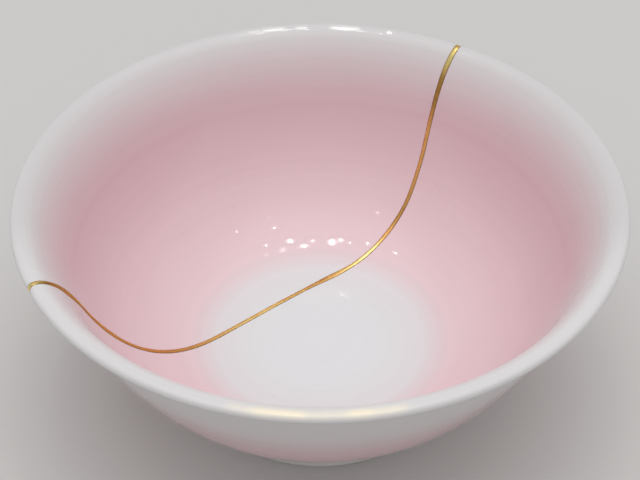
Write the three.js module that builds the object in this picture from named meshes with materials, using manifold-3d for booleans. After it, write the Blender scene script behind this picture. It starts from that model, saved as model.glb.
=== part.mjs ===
// Kintsugi bowl: a flared porcelain bowl on a ring foot, broken in two and
// joined again by a raised seam of gold lacquer that runs from rim to rim.
// Millimetres, +Z up, origin at the centre of the foot's underside.

import * as THREE from 'three';
import { mergeVertices } from 'three/addons/utils/BufferGeometryUtils.js';
import Module from 'manifold-3d';

const wasm = await Module();
wasm.setup();

// Driving dimensions of the bowl
const rimDiameter = 150;
const bowlHeight = 64;
const wallThickness = 2.3;

// Driving dimensions of the floor and the foot
const floorHeight = 9.6;
const floorThickness = 3.4;
const flatFloorDiameter = 38;
const footDiameter = 73;
const footRingWidth = 4.4;
const footInnerInset = 0.8;
const footFillet = 2.2;
const footEdgeRadius = 0.6;

// Driving dimensions of the gold seam
const seamWidth = 1.2;
const seamRaise = 0.25;
const seamClearance = 0.3;
const seamRimNotch = 0.5;
const seamFootRecess = 0.3;

// Facets
const turnSegments = 68;
const cupSteps = 11;
const flareSteps = 8;
const lipEdgeSteps = 6;
const filletSteps = 3;
const seamSteps = 44;
const farSideSteps = 10;
const bisectionSteps = 30;
const mergeTolerance = 1e-4;

// Proportions of the inner wall, as shares of the way out and the way up from
// the edge of the flat floor to the lip. The waist is the point between the
// cup below and the flare above, and its lean is the wall's direction there.
const wallShape = {
  floorHandle: new THREE.Vector2(0.431, 0),
  waist: new THREE.Vector2(0.78, 0.607),
  waistLean: new THREE.Vector2(0.174, 0.3925),
  leanRatioAbove: 0.427,
  lipHandle: new THREE.Vector2(0.891, 1),
};

// The line of the break seen from above, as shares of the rim's radius. It
// starts past the rim on the left and ends past the rim at the back.
const breakLine = [
  [-0.95, -0.56],
  [-0.87, -0.485],
  [-0.815, -0.43],
  [-0.79, -0.295],
  [-0.72, -0.26],
  [-0.48, -0.09],
  [-0.28, 0.085],
  [-0.045, 0.27],
  [0.155, 0.405],
  [0.315, 0.55],
  [0.385, 0.645],
  [0.435, 0.735],
  [0.51, 0.815],
  [0.565, 0.915],
];

const rimRadius = rimDiameter / 2;
const footRadius = footDiameter / 2;
const slotWidth = seamWidth + 2 * seamClearance;
const cutReach = 1.3 * rimRadius;
const cutMargin = wallThickness;

// The inner wall as two cubic curves that share a tangent at the waist.
function innerWallCurves() {
  const floorEdge = new THREE.Vector2(flatFloorDiameter / 2, floorHeight);
  const lipCrest = new THREE.Vector2(rimRadius - wallThickness / 2, bowlHeight);
  const span = lipCrest.clone().sub(floorEdge);
  const at = (share) => share.clone().multiply(span).add(floorEdge);
  const { floorHandle, waist, waistLean, leanRatioAbove, lipHandle } = wallShape;
  const cup = new THREE.CubicBezierCurve(
    floorEdge,
    at(floorHandle),
    at(waist.clone().sub(waistLean)),
    at(waist),
  );
  const flare = new THREE.CubicBezierCurve(
    at(waist),
    at(waist.clone().addScaledVector(waistLean, leanRatioAbove)),
    at(lipHandle),
    lipCrest,
  );
  return { cup, flare };
}

// A point of a wall curve, moved square to it into the wall by a depth.
function pointInWall(curve, t, depth) {
  const tangent = curve.getTangent(t);
  const intoWall = new THREE.Vector2(tangent.y, -tangent.x);
  return curve.getPoint(t).addScaledVector(intoWall, depth);
}

// Evenly spaced points from one place on a wall curve to another.
function wallPoints(curve, from, to, steps, depth) {
  const points = [];
  for (let i = 0; i <= steps; i += 1) {
    const t = from + ((to - from) * i) / steps;
    points.push(pointInWall(curve, t, depth));
  }
  return points;
}

// Where on a wall curve the points at a depth reach a given radius.
function placeAtRadius(curve, radius, depth) {
  let low = 0;
  let high = 1;
  for (let i = 0; i < bisectionSteps; i += 1) {
    const middle = (low + high) / 2;
    if (pointInWall(curve, middle, depth).x < radius) {
      low = middle;
    } else {
      high = middle;
    }
  }
  return low;
}

// The underside of the floor and the ring foot, from the axis out to the place
// where the fillet runs into the outer wall.
function footProfile(growth, filletEnd, wallSlope) {
  const ceiling = floorHeight - floorThickness - growth;
  const outside = footRadius + growth;
  const insideLow = footRadius - footRingWidth - growth;
  const insideHigh = insideLow - footInnerInset;
  const corner = new THREE.Vector2(outside, filletEnd.y - wallSlope * (filletEnd.x - outside));
  const recessFillet = new THREE.QuadraticBezierCurve(
    new THREE.Vector2(insideHigh - footFillet, ceiling),
    new THREE.Vector2(insideHigh, ceiling),
    new THREE.Vector2(insideHigh, ceiling - footFillet),
  );
  const outerFillet = new THREE.QuadraticBezierCurve(
    new THREE.Vector2(outside, corner.y - footFillet),
    corner,
    filletEnd,
  );
  return [
    new THREE.Vector2(0, ceiling),
    ...recessFillet.getPoints(filletSteps),
    new THREE.Vector2(insideLow, footEdgeRadius),
    new THREE.Vector2(insideLow + footEdgeRadius, 0),
    new THREE.Vector2(outside - footEdgeRadius, 0),
    new THREE.Vector2(outside, footEdgeRadius),
    ...outerFillet.getPoints(filletSteps),
  ];
}

// The half round edge of the lip, from below to above.
function lipProfile(growth) {
  const middle = new THREE.Vector2(rimRadius - wallThickness / 2, bowlHeight - wallThickness / 2);
  const radius = wallThickness / 2 + growth;
  const points = [];
  for (let i = 1; i < lipEdgeSteps; i += 1) {
    const angle = Math.PI * (i / lipEdgeSteps - 0.5);
    const arm = new THREE.Vector2(Math.cos(angle), Math.sin(angle));
    points.push(middle.clone().addScaledVector(arm, radius));
  }
  return points;
}

// The whole section of the bowl, grown by a little on every face for the seam.
function bowlProfile(growth) {
  const { cup, flare } = innerWallCurves();
  const outerDepth = wallThickness + growth;
  const filletRadius = footRadius + growth + footFillet;
  const start = placeAtRadius(cup, filletRadius, outerDepth);
  const tangent = cup.getTangent(start);
  const outerCup = wallPoints(cup, start, 1, cupSteps, outerDepth);
  const innerCup = wallPoints(cup, 1, 0, cupSteps, -growth);
  return [
    ...footProfile(growth, outerCup[0], tangent.y / tangent.x),
    ...outerCup.slice(1),
    ...wallPoints(flare, 0, 1, flareSteps, outerDepth).slice(1),
    ...lipProfile(growth),
    ...wallPoints(flare, 1, 0, flareSteps, -growth),
    ...innerCup.slice(1),
    new THREE.Vector2(0, floorHeight + growth),
  ];
}

// A closed geometry as a solid that can be joined and cut.
function toSolid(geometry) {
  const bare = geometry.clone();
  bare.deleteAttribute('normal');
  bare.deleteAttribute('uv');
  const merged = mergeVertices(bare, mergeTolerance);
  const index = merged.index.array;
  const triangles = [];
  for (let i = 0; i < index.length; i += 3) {
    const [a, b, c] = index.slice(i, i + 3);
    if (a !== b && b !== c && c !== a) {
      triangles.push(a, b, c);
    }
  }
  return new wasm.Manifold(new wasm.Mesh({
    numProp: 3,
    vertProperties: new Float32Array(merged.attributes.position.array),
    triVerts: new Uint32Array(triangles),
  }));
}

// A solid as a flat-shaded geometry.
function toGeometry(solid) {
  const mesh = solid.getMesh();
  const geometry = new THREE.BufferGeometry();
  geometry.setAttribute('position', new THREE.BufferAttribute(mesh.vertProperties, 3));
  geometry.setIndex(new THREE.BufferAttribute(mesh.triVerts, 1));
  const flat = geometry.toNonIndexed();
  flat.computeVertexNormals();
  return flat;
}

// The turned body of the bowl, standing on its foot.
function turnedBowl(growth) {
  const geometry = new THREE.LatheGeometry(bowlProfile(growth), turnSegments);
  geometry.rotateX(Math.PI / 2);
  return toSolid(geometry);
}

// The break's line moved to one side, seen from above, with its end points
// past the rim. A positive distance goes towards the back of the bowl.
function breakPoints(distance) {
  const points = breakLine.map(([x, y]) => new THREE.Vector2(x * rimRadius, y * rimRadius));
  const curve = new THREE.SplineCurve(points);
  const line = [];
  for (let i = 0; i <= seamSteps; i += 1) {
    const tangent = curve.getTangentAt(i / seamSteps);
    const sideways = new THREE.Vector2(-tangent.y, tangent.x);
    line.push(curve.getPointAt(i / seamSteps).addScaledVector(sideways, distance));
  }
  return line;
}

// An outline seen from above, pulled straight up through the whole bowl.
function uprightSolid(outline) {
  const geometry = new THREE.ExtrudeGeometry(new THREE.Shape(outline), {
    depth: bowlHeight + 2 * cutMargin,
    bevelEnabled: false,
  });
  geometry.translate(0, 0, -cutMargin);
  return toSolid(geometry);
}

// Everything on one side of the break: 1 is the back left, -1 the front.
function sideOfBreak(side) {
  const edge = breakPoints((side * slotWidth) / 2);
  const first = edge[0];
  const last = edge[edge.length - 1];
  const from = Math.atan2(last.y, last.x);
  const to = Math.atan2(first.y, first.x);
  const turn = side > 0 ? to - from + 2 * Math.PI : to - from;
  const outline = [...edge];
  for (let i = 0; i <= farSideSteps; i += 1) {
    const angle = from + (turn * i) / farSideSteps;
    outline.push(new THREE.Vector2(Math.cos(angle), Math.sin(angle)).multiplyScalar(cutReach));
  }
  return uprightSolid(outline);
}

// The thin upright band that the seam fills.
function seamBand() {
  const backEdge = breakPoints(seamWidth / 2);
  const frontEdge = breakPoints(-seamWidth / 2);
  return uprightSolid([...backEdge, ...frontEdge.reverse()]);
}

// The space that the seam keeps inside, so that it dips at the rim's edge and
// stays clear of whatever the foot stands on.
function seamEnvelope() {
  const radius = rimRadius - seamRimNotch;
  const height = bowlHeight - seamRimNotch - seamFootRecess;
  const geometry = new THREE.CylinderGeometry(radius, radius, height, turnSegments);
  geometry.rotateX(Math.PI / 2);
  geometry.translate(0, 0, seamFootRecess + height / 2);
  return toSolid(geometry);
}

function namedMesh(name, solid, material) {
  const mesh = new THREE.Mesh(toGeometry(solid), material);
  mesh.name = name;
  return mesh;
}

function blushPorcelain() {
  return new THREE.MeshStandardMaterial({ color: 0xe6cdd0, roughness: 0.18, metalness: 0 });
}

function goldLacquer() {
  return new THREE.MeshStandardMaterial({ color: 0xd9a24a, roughness: 0.28, metalness: 1 });
}

const bowl = turnedBowl(0);
const seam = turnedBowl(seamRaise).intersect(seamBand()).intersect(seamEnvelope());

const kintsugiBowl = new THREE.Group();
kintsugiBowl.add(namedMesh('front_shard', bowl.intersect(sideOfBreak(-1)), blushPorcelain()));
kintsugiBowl.add(namedMesh('back_shard', bowl.intersect(sideOfBreak(1)), blushPorcelain()));
kintsugiBowl.add(namedMesh('gold_seam', seam, goldLacquer()));

export default kintsugiBowl;
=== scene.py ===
"""A flared porcelain bowl on a ring foot, broken in two and rejoined with a raised seam of gold lacquer."""

import math
from bisect import bisect_right

import bmesh
import bpy
from bpy.props import FloatProperty, FloatVectorProperty, PointerProperty
from mathutils import Matrix, Vector, noise


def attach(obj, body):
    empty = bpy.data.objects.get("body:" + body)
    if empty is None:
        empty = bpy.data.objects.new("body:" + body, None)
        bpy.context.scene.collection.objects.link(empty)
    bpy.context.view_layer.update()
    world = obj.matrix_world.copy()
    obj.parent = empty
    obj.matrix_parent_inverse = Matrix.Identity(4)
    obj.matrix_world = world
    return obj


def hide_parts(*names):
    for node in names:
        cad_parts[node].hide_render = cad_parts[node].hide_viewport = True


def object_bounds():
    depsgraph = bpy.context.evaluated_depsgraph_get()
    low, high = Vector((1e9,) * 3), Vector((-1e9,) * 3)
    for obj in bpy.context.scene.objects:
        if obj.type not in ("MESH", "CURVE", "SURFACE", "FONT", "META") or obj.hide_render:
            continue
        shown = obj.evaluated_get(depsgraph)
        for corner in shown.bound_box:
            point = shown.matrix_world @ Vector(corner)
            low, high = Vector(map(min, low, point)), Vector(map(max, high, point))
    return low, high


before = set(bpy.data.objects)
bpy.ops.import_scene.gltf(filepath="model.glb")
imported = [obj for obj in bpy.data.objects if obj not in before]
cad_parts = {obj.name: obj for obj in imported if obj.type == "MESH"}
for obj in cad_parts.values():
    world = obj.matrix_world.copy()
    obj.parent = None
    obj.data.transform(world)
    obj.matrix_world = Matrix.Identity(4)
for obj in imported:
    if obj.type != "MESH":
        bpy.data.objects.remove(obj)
CAD_LOW, CAD_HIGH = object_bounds()

bl_info = {
    "name": "Kintsugi Bowl",
    "version": (1, 0, 0),
    "blender": (4, 5, 0),
    "location": "3D View > Sidebar > Kintsugi Bowl",
    "description": "A blush glazed porcelain bowl in two shards, joined by a raised gold lacquer seam",
    "category": "Add Mesh",
}

# How finely each stretch of the bowl's section is drawn, from the floor's middle over the lip to the foot
FLOOR_STEPS = 18
CUP_STEPS = 56
FLARE_STEPS = 34
LIP_STEPS = 16
FILLET_STEPS = 8
FOOT_SIDE_STEPS = 4
FOOT_EDGE_STEPS = 4
CEILING_STEPS = 14
TURN_STEPS = 480
TURN_COPIES = 8
BISECTION_STEPS = 40

# Gaps in metres: below which points merge, by which a cut may miss a point, and kept inside the CAD's box
MERGE_DISTANCE = 2e-6
CUT_TOLERANCE = 1e-7
BOX_MARGIN = 1e-5

# Proportions of the inner wall, as shares of the way out and the way up from the floor's edge to the lip
FLOOR_HANDLE = Vector((0.431, 0.0))
WAIST = Vector((0.78, 0.607))
WAIST_LEAN = Vector((0.174, 0.3925))
LEAN_ABOVE_WAIST = 0.427
LIP_HANDLE = Vector((0.891, 1.0))

# The break seen from above, as shares of the rim's radius, from past the left rim to past the back right rim
BREAK_LINE = (
    (-0.95, -0.56),
    (-0.87, -0.485),
    (-0.815, -0.43),
    (-0.79, -0.295),
    (-0.72, -0.26),
    (-0.48, -0.09),
    (-0.28, 0.085),
    (-0.045, 0.27),
    (0.155, 0.405),
    (0.315, 0.55),
    (0.385, 0.645),
    (0.435, 0.735),
    (0.51, 0.815),
    (0.565, 0.915),
)
STEPS_PER_SPAN = 24

# Where the gold is laid on wider or narrower: metres along the break, extra share of width, reach in metres
WIDE_PLACES = (
    (0.020, 0.34, 0.005),
    (0.0675, 0.28, 0.006),
    (-0.0525, 0.42, 0.0045),
    (-0.0635, -0.2, 0.0035),
)

# How much the gold's width wanders, how fast along the break, and the row of the noise that it follows
WIDTH_WANDER = 0.08
WIDTH_WANDER_PER_METRE = 170.0
WIDTH_WANDER_ROW = 3.7

# The bead of gold: where it is cut across its width, how round it is, how far its edges sink into the glaze
BEAD_CUTS = (-0.9, -0.72, -0.5, -0.25, 0.0, 0.25, 0.5, 0.72, 0.9)
BEAD_ROUNDNESS = 0.6
BEAD_EDGE_SINK = 0.00002

# Its lumps: how high, how close along the break and across it, and the row of the noise that they follow
BEAD_LUMPS = 0.14
BEAD_LUMPS_PER_METRE = 260.0
BEAD_LUMPS_ACROSS = 0.8
BEAD_LUMPS_ROW = 1.3

# How much the bead is rubbed down at the rim, from how far in, and how far it stays above the table
RIM_RUB = 0.85
RIM_RUB_REACH = 0.0035
SEAM_FOOT_RECESS = 0.0003

# The shards reach under the gold's edges, to this share of its half width
SHARD_EDGE = 0.9

# The worn dip of the lip: how much of it goes downwards, and beyond how many reaches there is none
RIM_DIP_DROP = 0.45
RIM_DIP_CUTOFF = 3

# Tone of the gold, by shares of the way along the chord of the break; the tones are partly the gold's own and
# partly painted highlights and reflections
GOLD_TONES_AND_PAINTED_GLINTS = (
    (0.056, "pale"),
    (0.066, "bright"),
    (0.078, "brown"),
    (0.115, "brown"),
    (0.16, "copper"),
    (0.22, "copper"),
    (0.34, "amber"),
    (0.43, "bright"),
    (0.49, "bright"),
    (0.61, "copper"),
    (0.67, "bright"),
    (0.72, "pale"),
    (0.755, "amber"),
    (0.795, "copper"),
    (0.84, "amber"),
    (0.88, "amber"),
    (0.899, "brown"),
    (0.916, "brown"),
    (0.923, "bright"),
    (0.936, "pale"),
    (0.952, "bright"),
)

# How detailed a soft, a fine and a rich pattern are
SOFT = 2.0
FINE = 3.0
RICH = 4.0

# Patterns of the gold per metre: drift of the tones, thin patches, ragged edges, grain and lumps
TONE_DRIFT_PER_METRE = 260.0
THIN_PATCHES_PER_METRE = 480.0
RAGGED_EDGES_PER_METRE = 1500.0
GOLD_GRAIN_PER_METRE = 2400.0
GOLD_LUMPS_PER_METRE = 420.0

# How strong they are, and the height of the relief in metres
TONE_DRIFT = 0.006
THIN_PATCH_RANGE = (0.52, 0.72)
THIN_PATCH_STRENGTH = 0.4
RAGGED_EDGE = 0.5
LACQUER_EDGE_RANGE = (0.55, 1.0)
GOLD_ROUGHNESS = (0.16, 0.42)
GOLD_GRAIN_RELIEF = 0.25
GOLD_RELIEF_HEIGHT = 0.00015

# Colours of the glaze inside: share of the rim's radius, how much blush there is, how light the glaze is;
# that lightness is painted light and shade, lighter on the mid wall and darker towards the lip
INSIDE_BLUSH_AND_PAINTED_SHADE = (
    (0.0, 0.0, 1.0),
    (0.2, 0.0, 1.0),
    (0.28, 0.05, 1.0),
    (0.309, 0.11, 1.0),
    (0.375, 0.17, 1.01),
    (0.392, 0.27, 1.01),
    (0.414, 0.42, 1.01),
    (0.436, 0.54, 1.02),
    (0.469, 0.66, 1.03),
    (0.53, 0.76, 1.06),
    (0.62, 0.8, 1.08),
    (0.7, 0.85, 1.07),
    (0.78, 0.93, 1.0),
    (0.835, 1.0, 0.96),
    (0.86, 0.8, 0.97),
    (0.88, 0.54, 0.98),
    (0.905, 0.3, 0.99),
    (0.92, 0.15, 0.96),
    (0.94, 0.06, 0.91),
    (0.965, 0.03, 0.86),
    (0.985, 0.02, 0.84),
)

# Within this share of the rim's radius the white is the floor's
FLOOR_GLAZE_END = 0.45

# Towards the front the upper wall is paler, a painted sheen that stands in for glancing reflection there: how
# far back in metres that starts and is full
FRONT_FADE_NONE = -0.008
FRONT_FADE_FULL = -0.036

# The stretches of the section over which it sets in and goes out
FRONT_FADE_SETS_IN = (0.28, 0.39)
FRONT_FADE_GOES_OUT = (0.478, 0.45)

# How much of that painted white sheen shows there, how light it is and how much rougher the glaze gets
FRONT_PAINTED_SHEEN_STRENGTH = 0.75
FRONT_PAINTED_SHEEN_LIGHTNESS = 1.03
FRONT_FADE_ROUGHNESS = 0.25

# Colours of the glaze outside, in the same way, from the lip down to the foot
OUTSIDE_BLUSH = (
    (0.915, 0.0, 0.86),
    (0.88, 0.14, 0.88),
    (0.85, 0.45, 0.9),
    (0.82, 0.85, 0.92),
    (0.78, 1.0, 0.94),
    (0.62, 1.0, 0.96),
    (0.54, 0.75, 0.96),
    (0.505, 0.15, 0.94),
    (0.49, 0.0, 0.92),
)

# Patterns of the glaze per metre, and of its turning rings per section
BLUSH_DRIFT_PER_METRE = 28.0
CLOUDS_PER_METRE = 46.0
PITS_PER_METRE = 150.0
CLAY_GRAIN_PER_METRE = 2600.0
RIPPLES_PER_METRE = 62.0
PEEL_PER_METRE = 700.0
RINGS_PER_SECTION = 95.0

# How strong they are in the colour
BLUSH_DRIFT = 0.006
RINGS_SHARE = 0.6
CLOUDS_SHARE = 0.4
UNEVENNESS_RANGE = (0.3, 0.7)
UNEVENNESS_SHADES = (0.986, 1.014)
PIT_RANGE = (0.035, 0.06)
PIT_STRENGTH = 0.12
PIT_COLOUR = (0.45, 0.36, 0.34, 1.0)
CLAY_GRAIN_LIGHTNESS = 1.12

# The share of the foot's rounded edges that is bare of glaze, and how much rougher the bare clay is
BARE_EDGE_SHARE = 0.9
BARE_ROUGHNESS = 0.5

# The glaze's roughness wanders between these shares of its usual value
ROUGHNESS_RANGE = (0.8, 1.25)

# How strong the patterns are in the relief, its height in metres, and the strength of all relief
RIPPLE_RELIEF = 0.2
PEEL_RELIEF = 0.005
RINGS_RELIEF = 0.035
PIT_RELIEF = -0.1
CLAY_GRAIN_RELIEF = 0.15
GLAZE_RELIEF_HEIGHT = 0.0003
RELIEF_STRENGTH = 0.5

# The floor of the stage: half its side in metres, tiles a side, clouds per metre, shades and roughness
STAGE_HALF_SIDE = 4.0
STAGE_TILES = 8
STAGE_CLOUDS_PER_METRE = 3.0
STAGE_SHADES = (0.985, 1.015)
STAGE_ROUGHNESS = 0.85

CAMERA_PLACE = Vector((0.0, -0.239, 0.2561))
CAMERA_TILT = math.radians(48.64)
CAMERA_SENSOR = 36.0
CAMERA_NEAR = 0.01

# Where the room is brighter, and the cosine of the angle from there at which the extra light ends
OVERHEAD_DIRECTION = (0.0, 0.0, 1.0)
OVERHEAD_REACH = 0.7
FRONT_DIRECTION = (0.0, -0.5, 0.866)
FRONT_REACH = 0.6

# How much of that extra light is mirrored
GLOW_IN_REFLECTIONS = 0.45

# Small ceiling lamps: sideways, back, length and width in metres, turn in degrees, brightness
CEILING_HEIGHT = 2.0
CEILING_LAMPS = (
    (-0.109, 0.185, 0.225, 0.057, -5.0, 1.0),
    (-0.197, 0.104, 0.15, 0.046, -8.0, 0.7),
    (-0.279, 0.169, 0.085, 0.024, -12.0, 0.8),
    (-0.474, 0.136, 0.12, 0.022, -18.0, 1.1),
    (-0.755, 0.348, 0.09, 0.032, -33.0, 1.1),
    (-1.034, -1.021, 0.09, 0.038, -30.0, 0.9),
    (0.07, 0.149, 0.1, 0.03, 3.0, 0.55),
    (0.134, 0.317, 0.125, 0.057, 8.0, 1.0),
    (0.288, 0.112, 0.15, 0.052, 13.0, 1.0),
    (0.304, 0.402, 0.15, 0.05, 17.0, 0.27),
    (0.531, 0.184, 0.085, 0.03, 23.0, 1.0),
    (0.434, 0.495, 0.06, 0.018, 20.0, 0.45),
    (0.6, -0.404, 0.085, 0.028, 21.0, 1.4),
    (0.276, -0.487, 0.07, 0.025, 10.0, 0.4),
    (0.814, -0.759, 0.07, 0.03, 25.0, 0.3),
    (1.305, -0.364, 0.08, 0.034, 44.0, 0.9),
)
LAMP_RADIANCE = 22.0

# Small lamps just off the lip: degrees round from the front, length in metres, brightness
FRONT_LIP_LAMPS = (
    (-12.9, 0.005, 0.35),
    (-6.5, 0.0115, 1.0),
    (1.6, 0.008, 0.5),
    (6.6, 0.005, 1.0),
    (11.2, 0.0065, 0.6),
)
BACK_LIP_LAMPS = (
    (195.2, 0.0035, 0.5),
    (190.7, 0.0062, 1.0),
    (184.2, 0.0032, 0.8),
    (174.3, 0.0082, 1.1),
    (164.0, 0.0015, 1.3),
)
LIP_LAMP_SPREAD = math.radians(60.0)

# How each row leans outwards from upright, how far it is from the lip, how wide it is and how bright
FRONT_LIP_ROW = (math.radians(2.0), 0.003, 0.0012, 6.7)
BACK_LIP_ROW = (math.radians(-58.0), 0.0016, 0.0006, 9.0)


# What the properties of one kind share
LENGTH = {"subtype": "DISTANCE", "unit": "LENGTH"}
COLOUR = {"min": 0.0, "max": 1.0, "subtype": "COLOR"}


class KintsugiBowlSizes(bpy.types.PropertyGroup):
    """Sizes of the turned bowl"""

    rim_diameter: FloatProperty(
        name="Rim diameter",
        description="Across the outside of the lip",
        default=CAD_HIGH.x - CAD_LOW.x - 2 * BOX_MARGIN,
        **LENGTH,
    )
    bowl_height: FloatProperty(
        name="Height",
        description="From the table to the top of the lip",
        default=CAD_HIGH.z - CAD_LOW.z - BOX_MARGIN,
        **LENGTH,
    )
    wall_thickness: FloatProperty(
        name="Wall thickness",
        description="Thickness of the wall and the lip",
        default=0.0023,
        **LENGTH,
    )
    floor_height: FloatProperty(
        name="Floor height",
        description="From the table to the flat floor inside",
        default=0.0096,
        **LENGTH,
    )
    floor_thickness: FloatProperty(
        name="Floor thickness",
        description="From the recess inside the foot to the floor inside the bowl",
        default=0.0034,
        **LENGTH,
    )
    flat_floor_diameter: FloatProperty(
        name="Flat floor diameter",
        description="Across the flat floor inside",
        default=0.038,
        **LENGTH,
    )
    foot_diameter: FloatProperty(
        name="Foot diameter",
        description="Across the outside of the ring foot",
        default=0.073,
        **LENGTH,
    )
    foot_ring_width: FloatProperty(
        name="Foot ring width",
        description="Thickness of the ring foot where it stands",
        default=0.0044,
        **LENGTH,
    )
    foot_inner_inset: FloatProperty(
        name="Foot inner inset",
        description="How much the ring foot thickens on the inside towards the top",
        default=0.0008,
        **LENGTH,
    )
    foot_fillet: FloatProperty(
        name="Foot fillet",
        description="Length of the hollow curves where the foot joins the bowl",
        default=0.0022,
        **LENGTH,
    )
    foot_edge_radius: FloatProperty(
        name="Foot edge radius",
        description="Radius of the rounded edges that the foot stands on",
        default=0.0006,
        **LENGTH,
    )


class KintsugiSeamSizes(bpy.types.PropertyGroup):
    """Sizes of the gold seam"""

    width: FloatProperty(
        name="Seam width",
        description="Usual width of the gold line",
        default=0.00125,
        **LENGTH,
    )
    height: FloatProperty(
        name="Seam height",
        description="How far the gold stands above the glaze",
        default=0.00025,
        **LENGTH,
    )
    rim_dip: FloatProperty(
        name="Dip at the rim",
        description="How far the lip is worn back where the break meets it",
        default=0.0004,
        **LENGTH,
    )
    dip_reach: FloatProperty(
        name="Dip reach",
        description="How far to each side of the break the dip reaches",
        default=0.0013,
        **LENGTH,
    )
    dip_depth_inwards: FloatProperty(
        name="Dip run-out",
        description="How far in from the lip the dip fades away",
        default=0.004,
        **LENGTH,
    )


class KintsugiGlazeLooks(bpy.types.PropertyGroup):
    """Colours of the porcelain and its glaze"""

    white: FloatVectorProperty(
        name="White glaze",
        description="Glaze on the lip and the foot",
        default=(0.79, 0.775, 0.78),
        **COLOUR,
    )
    floor_white: FloatVectorProperty(
        name="Floor glaze",
        description="Cooler white of the thick glaze on the flat floor",
        default=(0.745, 0.775, 0.785),
        **COLOUR,
    )
    blush: FloatVectorProperty(
        name="Blush glaze",
        description="Pink sprayed on the walls",
        default=(0.78, 0.535, 0.575),
        **COLOUR,
    )
    bare_clay: FloatVectorProperty(
        name="Bare porcelain",
        description="Unglazed ring that the foot stands on",
        default=(0.66, 0.62, 0.56),
        **COLOUR,
    )
    roughness: FloatProperty(
        name="Glaze roughness",
        description="Roughness of the glossy glaze",
        default=0.055,
        min=0.0,
        max=1.0,
        subtype="FACTOR",
    )


class KintsugiGoldLooks(bpy.types.PropertyGroup):
    """Colours of the gold lacquer, which along the line also carry painted highlights and reflections"""

    # Along the line these tones are partly the powder's own colour and partly painted highlights and
    # reflections
    pale: FloatVectorProperty(
        name="Pale gold",
        description="The lightest places, where the powder lies thickest",
        default=(1.0, 0.84, 0.33),
        **COLOUR,
    )
    bright: FloatVectorProperty(
        name="Bright gold",
        description="Well covered places",
        default=(0.94, 0.65, 0.23),
        **COLOUR,
    )
    amber: FloatVectorProperty(
        name="Amber gold",
        description="Places with a warm cast",
        default=(0.96, 0.51, 0.17),
        **COLOUR,
    )
    copper: FloatVectorProperty(
        name="Copper gold",
        description="Places where the powder is thin",
        default=(0.68, 0.36, 0.12),
        **COLOUR,
    )
    brown: FloatVectorProperty(
        name="Brown gold",
        description="Places that are nearly bare lacquer",
        default=(0.46, 0.28, 0.075),
        **COLOUR,
    )
    glancing: FloatVectorProperty(
        name="Glancing tint",
        description="Tint of the gold where it is seen at a flat angle",
        default=(1.0, 0.77, 0.47),
        **COLOUR,
    )
    lacquer: FloatVectorProperty(
        name="Lacquer edge",
        description="Brown lacquer that shows along the edges",
        default=(0.26, 0.15, 0.05),
        **COLOUR,
    )


class KintsugiStageLooks(bpy.types.PropertyGroup):
    """Floor, lights and camera"""

    floor_colour: FloatVectorProperty(
        name="Floor colour",
        description="Plain pale floor",
        default=(0.62, 0.61, 0.6),
        **COLOUR,
    )
    room_light: FloatProperty(
        name="Room light",
        description="Strength of the even light from all round",
        default=0.48,
        min=0.0,
    )
    overhead_light: FloatProperty(
        name="Overhead glow",
        description="Extra strength of the soft light straight above",
        default=1.31,
        min=0.0,
    )
    front_light: FloatProperty(
        name="Front glow",
        description="Extra strength of the soft light over the camera",
        default=0.178,
        min=0.0,
    )
    lamp_colour: FloatVectorProperty(
        name="Lamp colour",
        description="Colour of the small ceiling lamps",
        default=(1.0, 0.98, 0.95),
        **COLOUR,
    )
    lip_lamp_colour: FloatVectorProperty(
        name="Lip lamp colour",
        description="Colour of the warm lamps that shine on the front of the lip",
        default=(1.0, 0.72, 0.0),
        **COLOUR,
    )
    lens: FloatProperty(
        name="Lens",
        description="Focal length of the camera",
        default=70.3,
        unit="CAMERA",
    )


# The section of the bowl


def curve_point(curve, share):
    """A point of a cubic curve given by its two ends and two handles."""
    rest = 1 - share
    start, first, second, end = curve
    return (
        start * rest**3
        + first * (3 * rest * rest * share)
        + second * (3 * rest * share * share)
        + end * share**3
    )


def curve_direction(curve, share):
    """The direction of a cubic curve at a share of its run."""
    rest = 1 - share
    start, first, second, end = curve
    run = (
        (first - start) * (rest * rest)
        + (second - first) * (2 * rest * share)
        + (end - second) * (share * share)
    )
    return run.normalized()


def wall_curves(sizes):
    """The inner wall as a cup below and a flare above, which share a direction at the waist."""
    floor_edge = Vector((sizes.flat_floor_diameter / 2, sizes.floor_height))
    lip_crest = Vector((sizes.rim_diameter / 2 - sizes.wall_thickness / 2, sizes.bowl_height))
    span = lip_crest - floor_edge

    def at(share):
        return floor_edge + share * span

    above = WAIST + WAIST_LEAN * LEAN_ABOVE_WAIST
    cup = (floor_edge, at(FLOOR_HANDLE), at(WAIST - WAIST_LEAN), at(WAIST))
    flare = (at(WAIST), at(above), at(LIP_HANDLE), lip_crest)
    return cup, flare


def point_in_wall(curve, share, depth):
    """A point of a wall curve, moved square to it into the wall."""
    direction = curve_direction(curve, share)
    return curve_point(curve, share) + Vector((direction.y, -direction.x)) * depth


def share_at_radius(curve, radius, depth):
    """Where on a wall curve the points at a depth reach a radius."""
    low, high = 0.0, 1.0
    for _ in range(BISECTION_STEPS):
        middle = (low + high) / 2
        if point_in_wall(curve, middle, depth).x < radius:
            low = middle
        else:
            high = middle
    return low


def wall_points(curve, start, end, steps, depth):
    """Points from one place on a wall curve to another, without the first."""
    run = end - start
    return [point_in_wall(curve, start + run * i / steps, depth) for i in range(1, steps + 1)]


def line_points(start, end, steps):
    """Points along a straight line, without the first."""
    return [start.lerp(end, i / steps) for i in range(1, steps + 1)]


def bend_points(start, corner, end, steps):
    """Points round a bend that leaves towards its corner, without the first."""
    return [
        start.lerp(corner, i / steps).lerp(corner.lerp(end, i / steps), i / steps)
        for i in range(1, steps + 1)
    ]


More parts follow.
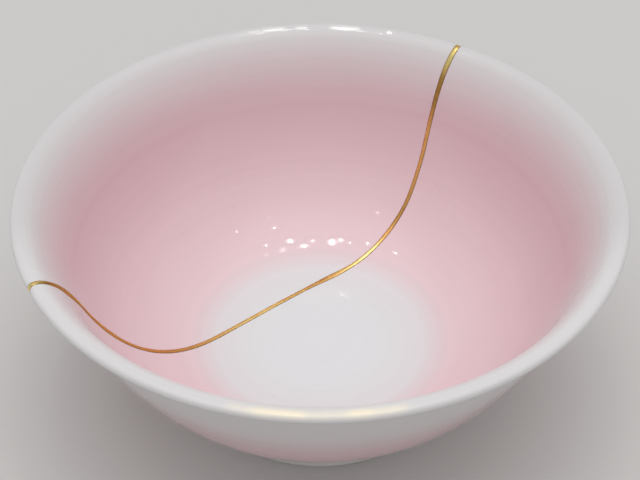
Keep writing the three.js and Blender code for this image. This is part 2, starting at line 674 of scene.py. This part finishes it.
def lip_points(sizes):
    """The half round edge of the lip, from its crest to its underside."""
    radius = sizes.wall_thickness / 2
    middle = Vector((sizes.rim_diameter / 2 - radius, sizes.bowl_height - radius))
    points = []
    for i in range(1, LIP_STEPS):
        angle = math.pi * (0.5 - i / LIP_STEPS)
        points.append(middle + Vector((math.cos(angle), math.sin(angle))) * radius)
    return points


def foot_points(sizes, fillet_top, wall_slope):
    """The outside of the foot, its underside and the recess inside it, in to the axis."""
    outside = sizes.foot_diameter / 2
    inside_low = outside - sizes.foot_ring_width
    inside_high = inside_low - sizes.foot_inner_inset
    ceiling = sizes.floor_height - sizes.floor_thickness
    edge = sizes.foot_edge_radius
    fillet = sizes.foot_fillet
    corner = Vector((outside, fillet_top.y - wall_slope * (fillet_top.x - outside)))
    side_top = Vector((outside, corner.y - fillet))
    side_foot = Vector((outside, edge))
    under_outer = Vector((outside - edge, 0))
    under_inner = Vector((inside_low + edge, 0))
    recess_foot = Vector((inside_low, edge))
    recess_top = Vector((inside_high, ceiling - fillet))
    ceiling_edge = Vector((inside_high - fillet, ceiling))
    points = bend_points(fillet_top, corner, side_top, FILLET_STEPS)
    points += line_points(side_top, side_foot, FOOT_SIDE_STEPS)
    points += bend_points(side_foot, Vector((outside, 0)), under_outer, FOOT_EDGE_STEPS)
    points += line_points(under_outer, under_inner, FOOT_SIDE_STEPS)
    points += bend_points(under_inner, Vector((inside_low, 0)), recess_foot, FOOT_EDGE_STEPS)
    points += line_points(recess_foot, recess_top, FOOT_SIDE_STEPS)
    points += bend_points(recess_top, Vector((inside_high, ceiling)), ceiling_edge, FILLET_STEPS)
    points += line_points(ceiling_edge, Vector((0, ceiling)), CEILING_STEPS)
    return points


def bowl_section(sizes):
    """The section from the middle of the floor out over the lip and back under the foot to the axis."""
    cup, flare = wall_curves(sizes)
    wall = sizes.wall_thickness
    fillet_radius = sizes.foot_diameter / 2 + sizes.foot_fillet
    fillet_share = share_at_radius(cup, fillet_radius, wall)
    fillet_top = point_in_wall(cup, fillet_share, wall)
    direction = curve_direction(cup, fillet_share)
    centre = Vector((0, sizes.floor_height))
    points = [centre]
    points += line_points(centre, cup[0], FLOOR_STEPS)
    points += wall_points(cup, 0, 1, CUP_STEPS, 0)
    points += wall_points(flare, 0, 1, FLARE_STEPS, 0)
    points += lip_points(sizes)
    points.append(point_in_wall(flare, 1, wall))
    points += wall_points(flare, 1, 0, FLARE_STEPS, wall)
    points += wall_points(cup, 1, fillet_share, CUP_STEPS, wall)
    points += foot_points(sizes, fillet_top, direction.y / direction.x)
    return points


def section_distances(points):
    """How far along the section each of its points lies, as a share of the whole run."""
    distances = [0.0]
    for before, after in zip(points, points[1:]):
        distances.append(distances[-1] + (after - before).length)
    return [distance / distances[-1] for distance in distances]


def place_at_radius(points, distances, radius, outside):
    """The place along the section where the inside or the outside of the bowl has a radius."""
    lip = max(range(len(points)), key=lambda i: points[i].x)
    steps = range(lip + 1, len(points)) if outside else range(1, lip + 1)
    for i in steps:
        before, after = points[i - 1].x, points[i].x
        if min(before, after) <= radius <= max(before, after):
            share = (radius - before) / (after - before)
            return distances[i - 1] + (distances[i] - distances[i - 1]) * share
    raise ValueError("no point of the bowl has that radius")


# The break and the mesh cut along it


class Break:
    """The course of the break seen from above, as a height over its own chord."""

    def __init__(self, bowl, seam):
        rim = bowl.rim_diameter / 2
        self.half_width = seam.width / 2
        points = [Vector(point) * rim for point in BREAK_LINE]
        self.along = (points[-1] - points[0]).normalized()
        self.sideways = Vector((-self.along.y, self.along.x))
        self.places, self.heights, self.slopes = [], [], []
        for i in range(len(points) - 1):
            last = i == len(points) - 2
            for step in range(STEPS_PER_SPAN + last):
                point, run = self.spline(points, i, step / STEPS_PER_SPAN)
                self.places.append(point.dot(self.along))
                self.heights.append(point.dot(self.sideways))
                self.slopes.append(run.dot(self.sideways) / run.dot(self.along))

    def spline(self, points, i, share):
        """A point and the direction of the smooth line through the break's points."""
        before = points[max(i - 1, 0)]
        start, end = points[i], points[i + 1]
        after = points[min(i + 2, len(points) - 1)]
        leave = (end - before) / 2
        arrive = (after - start) / 2
        cubic = (start - end) * 2 + leave + arrive
        square = (end - start) * 3 - leave * 2 - arrive
        point = ((cubic * share + square) * share + leave) * share + start
        run = (cubic * (3 * share) + square * 2) * share + leave
        return point, run

    def at(self, place):
        """Height and slope of the break at a place along its chord."""
        if place <= self.places[0]:
            return self.heights[0] + (place - self.places[0]) * self.slopes[0], self.slopes[0]
        if place >= self.places[-1]:
            return self.heights[-1] + (place - self.places[-1]) * self.slopes[-1], self.slopes[-1]
        i = bisect_right(self.places, place) - 1
        share = (place - self.places[i]) / (self.places[i + 1] - self.places[i])
        height = self.heights[i] + (self.heights[i + 1] - self.heights[i]) * share
        slope = self.slopes[i] + (self.slopes[i + 1] - self.slopes[i]) * share
        return height, slope

    def share_along(self, place):
        """A place along the chord as a share of the way from the first end to the last."""
        return (place - self.places[0]) / (self.places[-1] - self.places[0])

    def width_share(self, place):
        """How wide the gold is at a place, as a share of its usual width."""
        spot = Vector((place * WIDTH_WANDER_PER_METRE, WIDTH_WANDER_ROW, 0.0))
        share = 1 + WIDTH_WANDER * noise.noise(spot)
        for middle, extra, reach in WIDE_PLACES:
            share += extra * math.exp(-(((place - middle) / reach) ** 2))
        return share

    def scale(self, place, slope):
        """From a distance up from the break to a share of the gold's half width."""
        return 1 / (math.sqrt(1 + slope * slope) * self.half_width * self.width_share(place))

    def straighten(self, point):
        """A point of the bowl, with the break made a straight line and its width made even."""
        place = point.x * self.along.x + point.y * self.along.y
        height, slope = self.at(place)
        across = point.x * self.sideways.x + point.y * self.sideways.y - height
        return Vector((place, across * self.scale(place, slope) * self.half_width, point.z))

    def bend_back(self, point):
        """The opposite of straighten."""
        height, slope = self.at(point.x)
        across = point.y / (self.scale(point.x, slope) * self.half_width) + height
        flat = self.along * point.x + self.sideways * across
        return Vector((flat.x, flat.y, point.z))


def smooth_step(share):
    """Rises gently from 0 to 1."""
    share = min(max(share, 0.0), 1.0)
    return share * share * (3 - 2 * share)


def turned_bowl(sizes):
    """The whole bowl as one closed mesh, each point carrying its place along the section."""
    points = bowl_section(sizes)
    bm = bmesh.new()
    section = bm.verts.layers.float.new("section")
    previous = None
    for point, distance in zip(points, section_distances(points)):
        vert = bm.verts.new((point.x, 0, point.y))
        vert[section] = distance
        if previous is not None:
            bm.edges.new((previous, vert))
        previous = vert
    bmesh.ops.spin(
        bm,
        geom=bm.verts[:] + bm.edges[:],
        cent=(0, 0, 0),
        axis=(0, 0, 1),
        dvec=(0, 0, 0),
        angle=math.tau / TURN_COPIES,
        steps=TURN_STEPS // TURN_COPIES,
        use_merge=False,
        use_duplicate=False,
    )
    copies = 1
    while copies < TURN_COPIES:
        made = bmesh.ops.duplicate(bm, geom=bm.verts[:] + bm.edges[:] + bm.faces[:])
        verts = [item for item in made["geom"] if isinstance(item, bmesh.types.BMVert)]
        turn = Matrix.Rotation(math.tau / TURN_COPIES * copies, 3, "Z")
        bmesh.ops.rotate(bm, verts=verts, cent=(0, 0, 0), matrix=turn)
        copies *= 2
    bmesh.ops.remove_doubles(bm, verts=bm.verts, dist=MERGE_DISTANCE)
    bmesh.ops.recalc_face_normals(bm, faces=bm.faces)
    return bm


def wear_back_the_rim(bm, line, bowl, seam):
    """Rounds the corners of the shards where the break meets the lip."""
    rim = bowl.rim_diameter / 2
    for vert in bm.verts:
        radius = math.hypot(vert.co.x, vert.co.y)
        if radius < rim - seam.dip_depth_inwards:
            continue
        aside = line.straighten(vert.co).y / seam.dip_reach
        if abs(aside) > RIM_DIP_CUTOFF:
            continue
        fade = smooth_step((radius - rim + seam.dip_depth_inwards) / seam.dip_depth_inwards)
        depth = seam.rim_dip * math.exp(-aside * aside) * fade
        shrink = 1 - depth / radius
        vert.co.x *= shrink
        vert.co.y *= shrink
        vert.co.z -= depth * RIM_DIP_DROP


def straightened_bowl(bowl, seam):
    """The break, and the turned bowl with its break made straight and the way out of its surface kept."""
    line = Break(bowl, seam)
    bm = turned_bowl(bowl)
    wear_back_the_rim(bm, line, bowl, seam)
    bm.normal_update()
    outward = bm.verts.layers.float_vector.new("outward")
    for vert in bm.verts:
        vert[outward] = vert.normal
        vert.co = line.straighten(vert.co)
    return line, bm


def cut_away(bm, place, side):
    """Removes what lies beyond an upright plane and closes the cut."""
    cut = bmesh.ops.bisect_plane(
        bm,
        geom=bm.verts[:] + bm.edges[:] + bm.faces[:],
        dist=CUT_TOLERANCE,
        plane_co=(0, place, 0),
        plane_no=(0, side, 0),
        clear_outer=True,
    )
    edges = [item for item in cut["geom_cut"] if isinstance(item, bmesh.types.BMEdge)]
    filled = bmesh.ops.triangle_fill(bm, use_beauty=True, edges=edges)
    caps = [item for item in filled["geom"] if isinstance(item, bmesh.types.BMFace)]
    if not caps:
        raise RuntimeError("the cut along the break was not closed")
    for edge in edges:
        edge.smooth = False
    return caps


def finished_piece(bm, name, flat_faces, material, *nodes):
    """A mesh object that rides on the bowl and stands for CAD nodes."""
    for face in bm.faces:
        face.smooth = True
    for face in flat_faces:
        if face.is_valid:
            face.smooth = False
    bmesh.ops.recalc_face_normals(bm, faces=bm.faces)
    directions = bm.verts.layers.float_vector
    directions.remove(directions["outward"])
    mesh = bpy.data.meshes.new(name)
    bm.to_mesh(mesh)
    bm.free()
    mesh.materials.append(material)
    piece = bpy.data.objects.new(name, mesh)
    bpy.context.scene.collection.objects.link(piece)
    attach(piece, "root")
    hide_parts(*nodes)
    return piece


def shard_mesh(straight, line, side):
    """One side of the break, as a closed mesh."""
    bm = straight.copy()
    caps = cut_away(bm, side * SHARD_EDGE * line.half_width, -side)
    for vert in bm.verts:
        vert.co = line.bend_back(vert.co)
    return bm, caps


def bead_height(share, place, seam):
    """How far the gold stands above the glaze at a share of its half width."""
    crown = max(1 - share * share, 0.0) ** BEAD_ROUNDNESS
    spot = Vector((place * BEAD_LUMPS_PER_METRE, BEAD_LUMPS_ROW, share * BEAD_LUMPS_ACROSS))
    lump = noise.noise(spot)
    return seam.height * crown * (1 + BEAD_LUMPS * lump) - BEAD_EDGE_SINK


def bead_mesh(straight, line, bowl, seam):
    """The gold that fills the break and stands proud of both faces, as a closed mesh."""
    bm = straight.copy()
    caps = cut_away(bm, line.half_width, 1)
    caps += cut_away(bm, -line.half_width, -1)
    for share in BEAD_CUTS:
        bmesh.ops.bisect_plane(
            bm,
            geom=bm.verts[:] + bm.edges[:] + bm.faces[:],
            dist=CUT_TOLERANCE,
            plane_co=(0, share * line.half_width, 0),
            plane_no=(0, 1, 0),
        )
    across = bm.verts.layers.float.new("across")
    along = bm.verts.layers.float.new("along")
    outward = bm.verts.layers.float_vector["outward"]
    rim = bowl.rim_diameter / 2
    for vert in bm.verts:
        place = vert.co.x
        share = vert.co.y / line.half_width
        vert[across] = abs(share)
        vert[along] = line.share_along(place)
        vert.co = line.bend_back(vert.co)
        radius = math.hypot(vert.co.x, vert.co.y)
        rubbed = 1 - RIM_RUB * smooth_step((radius - rim + RIM_RUB_REACH) / RIM_RUB_REACH)
        vert.co += vert[outward].normalized() * bead_height(share, place, seam) * rubbed
        vert.co.z = min(max(vert.co.z, SEAM_FOOT_RECESS), bowl.bowl_height)
    return bm, caps


# Materials


def new_material(name):
    """A fresh material, its node tree and its main shader."""
    material = bpy.data.materials.new(name)
    material.use_nodes = True
    tree = material.node_tree
    return material, tree, tree.nodes["Principled BSDF"]


def add_node(tree, kind, settings=None, inputs=None):
    """A node with its settings, and its inputs joined to sockets or set to values."""
    node = tree.nodes.new(kind)
    for name, value in (settings or {}).items():
        setattr(node, name, value)
    for name, value in (inputs or {}).items():
        if isinstance(value, bpy.types.NodeSocket):
            tree.links.new(value, node.inputs[name])
        else:
            node.inputs[name].default_value = value
    return node


def maths(tree, operation, first, second=0.0):
    """The result of a sum on two sockets or numbers."""
    node = add_node(tree, "ShaderNodeMath", {"operation": operation}, {0: first, 1: second})
    return node.outputs[0]


def weighted_sum(tree, *parts):
    """The sum of values times their weights."""
    total = maths(tree, "MULTIPLY", *parts[0])
    for value, weight in parts[1:]:
        total = maths(tree, "ADD", total, maths(tree, "MULTIPLY", value, weight))
    return total


def mapped(tree, value, source=(0.0, 1.0), target=(0.0, 1.0), steps="LINEAR"):
    """A value taken from one range to another."""
    low, high = source
    to_low, to_high = target
    inputs = {"Value": value, "From Min": low, "From Max": high, "To Min": to_low, "To Max": to_high}
    return add_node(tree, "ShaderNodeMapRange", {"interpolation_type": steps}, inputs).outputs["Result"]


def attribute(tree, name):
    """A number that the mesh's points carry."""
    return add_node(tree, "ShaderNodeAttribute", {"attribute_name": name}).outputs["Fac"]


def noise_value(tree, coordinates, scale, detail=SOFT):
    """A cloudy pattern from 0 to 1 at so many features a metre."""
    inputs = {"Vector": coordinates, "Scale": scale, "Detail": detail}
    return add_node(tree, "ShaderNodeTexNoise", None, inputs).outputs["Fac"]


def wander(tree, coordinates, scale, detail, amount):
    """A cloudy pattern that strays to both sides of zero."""
    centred = maths(tree, "SUBTRACT", noise_value(tree, coordinates, scale, detail), 0.5)
    return maths(tree, "MULTIPLY", centred, amount)


def colour_ramp(tree, factor, stops):
    """A ramp of colours at places from 0 to 1."""
    node = add_node(tree, "ShaderNodeValToRGB", None, {"Fac": factor})
    elements = node.color_ramp.elements
    elements[0].position = stops[0][0]
    elements[0].color = stops[0][1]
    elements[1].position = stops[-1][0]
    elements[1].color = stops[-1][1]
    for place, colour in stops[1:-1]:
        elements.new(place).color = colour
    return node.outputs["Color"]


def mix_colours(tree, factor, first, second):
    """Two colours mixed by a factor."""
    inputs = {0: factor, 6: first, 7: second}
    return add_node(tree, "ShaderNodeMix", {"data_type": "RGBA"}, inputs).outputs[2]


def opaque(colour, lightness=1.0):
    """A colour made lighter or darker, with full cover."""
    return (*(min(part * lightness, 1.0) for part in colour), 1.0)


def raise_surface(tree, shader, relief, height):
    """Bumps on the surface that follow a pattern."""
    inputs = {"Height": relief, "Strength": RELIEF_STRENGTH, "Distance": height}
    bump = add_node(tree, "ShaderNodeBump", None, inputs)
    tree.links.new(bump.outputs["Normal"], shader.inputs["Normal"])


def glaze_colour(white, blush, share, lightness):
    """White and blush mixed, and made lighter or darker."""
    return opaque((w + (b - w) * share for w, b in zip(white, blush)), lightness)


def glaze_stops(bowl, looks):
    """The glaze's colours by place along the section, with painted light and shade in the lightness of the
    inside's colours.
    """
    points = bowl_section(bowl)
    distances = section_distances(points)
    rim = bowl.rim_diameter / 2
    stops = []
    # The lightness of the inside's colours is painted light and shade
    for share, blush, lightness in INSIDE_BLUSH_AND_PAINTED_SHADE:
        place = place_at_radius(points, distances, share * rim, outside=False)
        white = looks.floor_white if share < FLOOR_GLAZE_END else looks.white
        stops.append((place, glaze_colour(white, looks.blush, blush, lightness)))
    for share, blush, lightness in OUTSIDE_BLUSH:
        place = place_at_radius(points, distances, share * rim, outside=True)
        stops.append((place, glaze_colour(looks.white, looks.blush, blush, lightness)))
    return stops


def bare_ring(bowl):
    """Where along the section the unglazed ring under the foot starts and ends."""
    points = bowl_section(bowl)
    distances = section_distances(points)
    edge = bowl.foot_edge_radius * BARE_EDGE_SHARE
    standing = [distance for point, distance in zip(points, distances) if point.y < edge]
    return min(standing), max(standing)


def painted_sheen_towards_front(tree, base, here, place, looks):
    """A colour made paler on the upper wall towards the front of the bowl, a painted sheen, and how much it
    fades.
    """
    front = add_node(tree, "ShaderNodeSeparateXYZ", None, {0: here}).outputs["Y"]
    fade = mapped(tree, front, (FRONT_FADE_NONE, FRONT_FADE_FULL), steps="SMOOTHSTEP")
    for stretch in (FRONT_FADE_SETS_IN, FRONT_FADE_GOES_OUT):
        fade = maths(tree, "MULTIPLY", fade, mapped(tree, place, stretch, steps="SMOOTHSTEP"))
    paler = maths(tree, "MULTIPLY", fade, FRONT_PAINTED_SHEEN_STRENGTH)
    return mix_colours(tree, paler, base, opaque(looks.white, FRONT_PAINTED_SHEEN_LIGHTNESS)), fade


def porcelain_material(bowl, looks):
    """Glossy glaze that goes from white to blush and back, with painted light and shade and a painted sheen
    in its colour, faint turning rings and pinholes.
    """
    material, tree, shader = new_material("blush_glaze")
    here = add_node(tree, "ShaderNodeTexCoord").outputs["Object"]
    section = attribute(tree, "section")
    drift = wander(tree, here, BLUSH_DRIFT_PER_METRE, SOFT, BLUSH_DRIFT)
    place = maths(tree, "ADD", section, drift)
    base = colour_ramp(tree, place, glaze_stops(bowl, looks))
    # A painted sheen makes the upper wall paler towards the front; the same mask also roughens the glaze
    base, fade = painted_sheen_towards_front(tree, base, here, place, looks)

    rings = add_node(
        tree,
        "ShaderNodeTexNoise",
        {"noise_dimensions": "1D"},
        {"W": section, "Scale": RINGS_PER_SECTION, "Detail": FINE},
    ).outputs["Fac"]
    clouds = noise_value(tree, here, CLOUDS_PER_METRE, RICH)
    unevenness = weighted_sum(tree, (rings, RINGS_SHARE), (clouds, CLOUDS_SHARE))
    shade = mapped(tree, unevenness, UNEVENNESS_RANGE, UNEVENNESS_SHADES)
    toned = add_node(tree, "ShaderNodeVectorMath", {"operation": "SCALE"}, {0: base, "Scale": shade})

    pits = add_node(tree, "ShaderNodeTexVoronoi", None, {"Vector": here, "Scale": PITS_PER_METRE})
    pit_mask = mapped(tree, pits.outputs["Distance"], PIT_RANGE, (1.0, 0.0))
    pit_share = maths(tree, "MULTIPLY", pit_mask, PIT_STRENGTH)
    specked = mix_colours(tree, pit_share, toned.outputs[0], PIT_COLOUR)

    start, end = bare_ring(bowl)
    after = maths(tree, "GREATER_THAN", section, start)
    before = maths(tree, "LESS_THAN", section, end)
    bare = maths(tree, "MULTIPLY", after, before)
    grain = noise_value(tree, here, CLAY_GRAIN_PER_METRE, FINE)
    lighter_clay = opaque(looks.bare_clay, CLAY_GRAIN_LIGHTNESS)
    clay = mix_colours(tree, grain, opaque(looks.bare_clay), lighter_clay)
    tree.links.new(mix_colours(tree, bare, specked, clay), shader.inputs["Base Color"])

    glossy = mapped(tree, clouds, target=[looks.roughness * share for share in ROUGHNESS_RANGE])
    roughness = weighted_sum(tree, (glossy, 1.0), (bare, BARE_ROUGHNESS), (fade, FRONT_FADE_ROUGHNESS))
    tree.links.new(roughness, shader.inputs["Roughness"])

    relief = weighted_sum(
        tree,
        (noise_value(tree, here, RIPPLES_PER_METRE), RIPPLE_RELIEF),
        (noise_value(tree, here, PEEL_PER_METRE), PEEL_RELIEF),
        (rings, RINGS_RELIEF),
        (pit_mask, PIT_RELIEF),
        (maths(tree, "MULTIPLY", grain, bare), CLAY_GRAIN_RELIEF),
    )
    raise_surface(tree, shader, relief, GLAZE_RELIEF_HEIGHT)
    return material


def gold_material(looks):
    """Gold powder on lacquer: its tone changes along the line, partly its own and partly painted highlights
    and reflections, and it is thin in patches and at the edges.
    """
    material, tree, shader = new_material("gold_lacquer")
    here = add_node(tree, "ShaderNodeTexCoord").outputs["Object"]
    drift = wander(tree, here, TONE_DRIFT_PER_METRE, FINE, TONE_DRIFT)
    # The tones along the line are partly painted highlights and reflections
    tones = [(share, opaque(getattr(looks, tone))) for share, tone in GOLD_TONES_AND_PAINTED_GLINTS]
    gold = colour_ramp(tree, maths(tree, "ADD", attribute(tree, "along"), drift), tones)
    patches = noise_value(tree, here, THIN_PATCHES_PER_METRE, FINE)
    thin = mapped(tree, patches, THIN_PATCH_RANGE, (0.0, THIN_PATCH_STRENGTH))
    powder = mix_colours(tree, thin, gold, opaque(looks.copper))
    ragged = wander(tree, here, RAGGED_EDGES_PER_METRE, SOFT, RAGGED_EDGE)
    edge = mapped(tree, maths(tree, "ADD", attribute(tree, "across"), ragged), LACQUER_EDGE_RANGE)
    colour = mix_colours(tree, edge, powder, opaque(looks.lacquer))
    tree.links.new(colour, shader.inputs["Base Color"])
    shader.inputs["Metallic"].default_value = 1.0
    shader.inputs["Specular Tint"].default_value = opaque(looks.glancing)

    grain = noise_value(tree, here, GOLD_GRAIN_PER_METRE, FINE)
    tree.links.new(mapped(tree, grain, target=GOLD_ROUGHNESS), shader.inputs["Roughness"])
    lumps = noise_value(tree, here, GOLD_LUMPS_PER_METRE, FINE)
    relief = weighted_sum(tree, (lumps, 1.0), (grain, GOLD_GRAIN_RELIEF))
    raise_surface(tree, shader, relief, GOLD_RELIEF_HEIGHT)
    return material


def floor_material(looks):
    """Matt pale paper."""
    material, tree, shader = new_material("pale_floor")
    here = add_node(tree, "ShaderNodeTexCoord").outputs["Object"]
    clouds = noise_value(tree, here, STAGE_CLOUDS_PER_METRE)
    low, high = (opaque(looks.floor_colour, shade) for shade in STAGE_SHADES)
    tree.links.new(mix_colours(tree, clouds, low, high), shader.inputs["Base Color"])
    shader.inputs["Roughness"].default_value = STAGE_ROUGHNESS
    return material


# Lights


def add_lamp(name, shape, size, radiance, colour):
    """An area lamp at the origin that shines down, with the same brightness at any size."""
    data = bpy.data.lights.new(name, "AREA")
    data.shape = shape
    data.size, data.size_y = size
    area = size[0] * size[1] * (math.pi / 4 if shape == "ELLIPSE" else 1.0)
    data.energy = radiance * math.pi * area
    data.color = colour
    lamp = bpy.data.objects.new(name, data)
    lamp.visible_camera = False
    bpy.context.scene.collection.objects.link(lamp)
    return lamp


def ceiling_lamps(colour):
    """Small oval lamps in the ceiling."""
    for i, (sideways, back, length, width, turn, strength) in enumerate(CEILING_LAMPS):
        lamp = add_lamp(f"ceiling_lamp_{i + 1}", "ELLIPSE", (width, length), strength * LAMP_RADIANCE, colour)
        lamp.location = (sideways, back, CEILING_HEIGHT)
        lamp.rotation_euler.z = math.radians(turn)


def lip_lamps(bowl, lamps, row, colour):
    """A row of small lamps that brighten one stretch of the lip alone."""
    lean_angle, distance, width, row_radiance = row
    lip = bowl.wall_thickness / 2
    radius = bowl.rim_diameter / 2 - lip
    half_spread = LIP_LAMP_SPREAD / 2
    gain = math.tan(half_spread) / (math.tan(half_spread) - half_spread)
    for degrees, length, strength in lamps:
        turn = math.radians(degrees)
        outward = Vector((math.sin(turn), -math.cos(turn), 0))
        tangent = Vector((math.cos(turn), math.sin(turn), 0))
        lean = outward * math.sin(lean_angle) + Vector((0, 0, math.cos(lean_angle)))
        lamp = add_lamp("lip_lamp", "RECTANGLE", (length, width), strength * row_radiance / gain, colour)
        lamp.data.spread = LIP_LAMP_SPREAD
        lamp.visible_glossy = False
        middle = outward * radius + Vector((0, 0, bowl.bowl_height - lip))
        lamp.location = middle + lean * (lip + distance)
        lamp.rotation_euler = Matrix((tangent, lean.cross(tangent), lean)).transposed().to_euler()


def room_light(scene, looks):
    """Even light from all round that grows softly stronger overhead and over the camera."""
    world = bpy.data.worlds.new("room")
    world.use_nodes = True
    tree = world.node_tree
    direction = add_node(tree, "ShaderNodeTexCoord").outputs["Generated"]
    glossy = add_node(tree, "ShaderNodeLightPath").outputs["Is Glossy Ray"]
    softened = maths(tree, "SUBTRACT", 1.0, maths(tree, "MULTIPLY", glossy, 1.0 - GLOW_IN_REFLECTIONS))
    strength = looks.room_light
    for glow_direction, reach, glow in (
        (OVERHEAD_DIRECTION, OVERHEAD_REACH, looks.overhead_light),
        (FRONT_DIRECTION, FRONT_REACH, looks.front_light),
    ):
        sockets = {0: direction, 1: glow_direction}
        dot = add_node(tree, "ShaderNodeVectorMath", {"operation": "DOT_PRODUCT"}, sockets)
        towards = dot.outputs["Value"]
        extra = mapped(tree, towards, (reach, 1.0), (0.0, glow), "SMOOTHERSTEP")
        strength = maths(tree, "ADD", maths(tree, "MULTIPLY", extra, softened), strength)
    sky = tree.nodes["Background"]
    sky.inputs["Color"].default_value = (1.0, 1.0, 1.0, 1.0)
    tree.links.new(strength, sky.inputs["Strength"])
    scene.world = world


# Operators


# Each shard's name, the side of the break that it lies on, and the CAD node that it stands for
SHARDS = (
    ("front_porcelain", -1, "front_shard"),
    ("back_porcelain", 1, "back_shard"),
)


class KINTSUGI_OT_shards(bpy.types.Operator):
    """Makes the two glazed porcelain shards of the bowl"""

    bl_idname = "kintsugi.shards"
    bl_label = "Porcelain Shards"

    def execute(self, context):
        bowl = context.scene.kintsugi_bowl
        seam = context.scene.kintsugi_seam
        line, straight = straightened_bowl(bowl, seam)
        glaze = porcelain_material(bowl, context.scene.kintsugi_glaze)
        for name, side, node in SHARDS:
            bm, caps = shard_mesh(straight, line, side)
            piece = finished_piece(bm, name, caps, glaze, node)
        straight.free()
        return {"FINISHED"}


class KINTSUGI_OT_seam(bpy.types.Operator):
    """Makes the raised seam of gold lacquer that joins the shards"""

    bl_idname = "kintsugi.seam"
    bl_label = "Gold Seam"

    def execute(self, context):
        bowl = context.scene.kintsugi_bowl
        seam = context.scene.kintsugi_seam
        line, straight = straightened_bowl(bowl, seam)
        bm, caps = bead_mesh(straight, line, bowl, seam)
        straight.free()
        gold = gold_material(context.scene.kintsugi_gold)
        piece = finished_piece(bm, "gold_bead", caps, gold, "gold_seam")
        return {"FINISHED"}


class KINTSUGI_OT_stage(bpy.types.Operator):
    """Makes the pale floor, the studio lights and the camera"""

    bl_idname = "kintsugi.stage"
    bl_label = "Floor, Lights and Camera"

    def execute(self, context):
        scene = context.scene
        looks = scene.kintsugi_stage
        bm = bmesh.new()
        bmesh.ops.create_grid(bm, x_segments=STAGE_TILES, y_segments=STAGE_TILES, size=STAGE_HALF_SIDE)
        mesh = bpy.data.meshes.new("floor")
        bm.to_mesh(mesh)
        bm.free()
        mesh.materials.append(floor_material(looks))
        floor = bpy.data.objects.new("floor", mesh)
        scene.collection.objects.link(floor)

        room_light(scene, looks)
        ceiling_lamps(looks.lamp_colour)
        lip_lamps(scene.kintsugi_bowl, FRONT_LIP_LAMPS, FRONT_LIP_ROW, looks.lip_lamp_colour)
        lip_lamps(scene.kintsugi_bowl, BACK_LIP_LAMPS, BACK_LIP_ROW, looks.lamp_colour)

        camera_data = bpy.data.cameras.new("camera")
        camera_data.lens = looks.lens
        camera_data.sensor_width = CAMERA_SENSOR
        camera_data.clip_start = CAMERA_NEAR
        camera = bpy.data.objects.new("camera", camera_data)
        camera.location = CAMERA_PLACE
        camera.rotation_euler = (CAMERA_TILT, 0.0, 0.0)
        scene.collection.objects.link(camera)
        scene.camera = camera
        scene.view_settings.view_transform = "Standard"
        return {"FINISHED"}


# The groups of settings: their name on the scene, their heading in the panel and their class
GROUPS = (
    ("kintsugi_bowl", "Bowl", KintsugiBowlSizes),
    ("kintsugi_seam", "Seam", KintsugiSeamSizes),
    ("kintsugi_glaze", "Glaze", KintsugiGlazeLooks),
    ("kintsugi_gold", "Gold", KintsugiGoldLooks),
    ("kintsugi_stage", "Stage", KintsugiStageLooks),
)
OPERATORS = (KINTSUGI_OT_shards, KINTSUGI_OT_seam, KINTSUGI_OT_stage)


class KINTSUGI_PT_panel(bpy.types.Panel):
    """Sizes, colours and steps of the kintsugi bowl"""

    bl_label = "Kintsugi Bowl"
    bl_idname = "KINTSUGI_PT_panel"
    bl_space_type = "VIEW_3D"
    bl_region_type = "UI"
    bl_category = "Kintsugi Bowl"

    def draw(self, context):
        for name, title, _ in GROUPS:
            group = getattr(context.scene, name)
            box = self.layout.box()
            box.label(text=title)
            for setting in group.__annotations__:
                box.prop(group, setting)
        for operator in OPERATORS:
            self.layout.operator(operator.bl_idname)


CLASSES = (*(group for _, _, group in GROUPS), *OPERATORS, KINTSUGI_PT_panel)


def register():
    for cls in CLASSES:
        bpy.utils.register_class(cls)
    for name, _, group in GROUPS:
        setattr(bpy.types.Scene, name, PointerProperty(type=group))


def unregister():
    for name, _, _ in GROUPS:
        delattr(bpy.types.Scene, name)
    for cls in reversed(CLASSES):
        bpy.utils.unregister_class(cls)


def main():
    register()
    bpy.ops.kintsugi.shards()
    bpy.ops.kintsugi.seam()
    bpy.ops.kintsugi.stage()


if __name__ == "__main__":
    main()
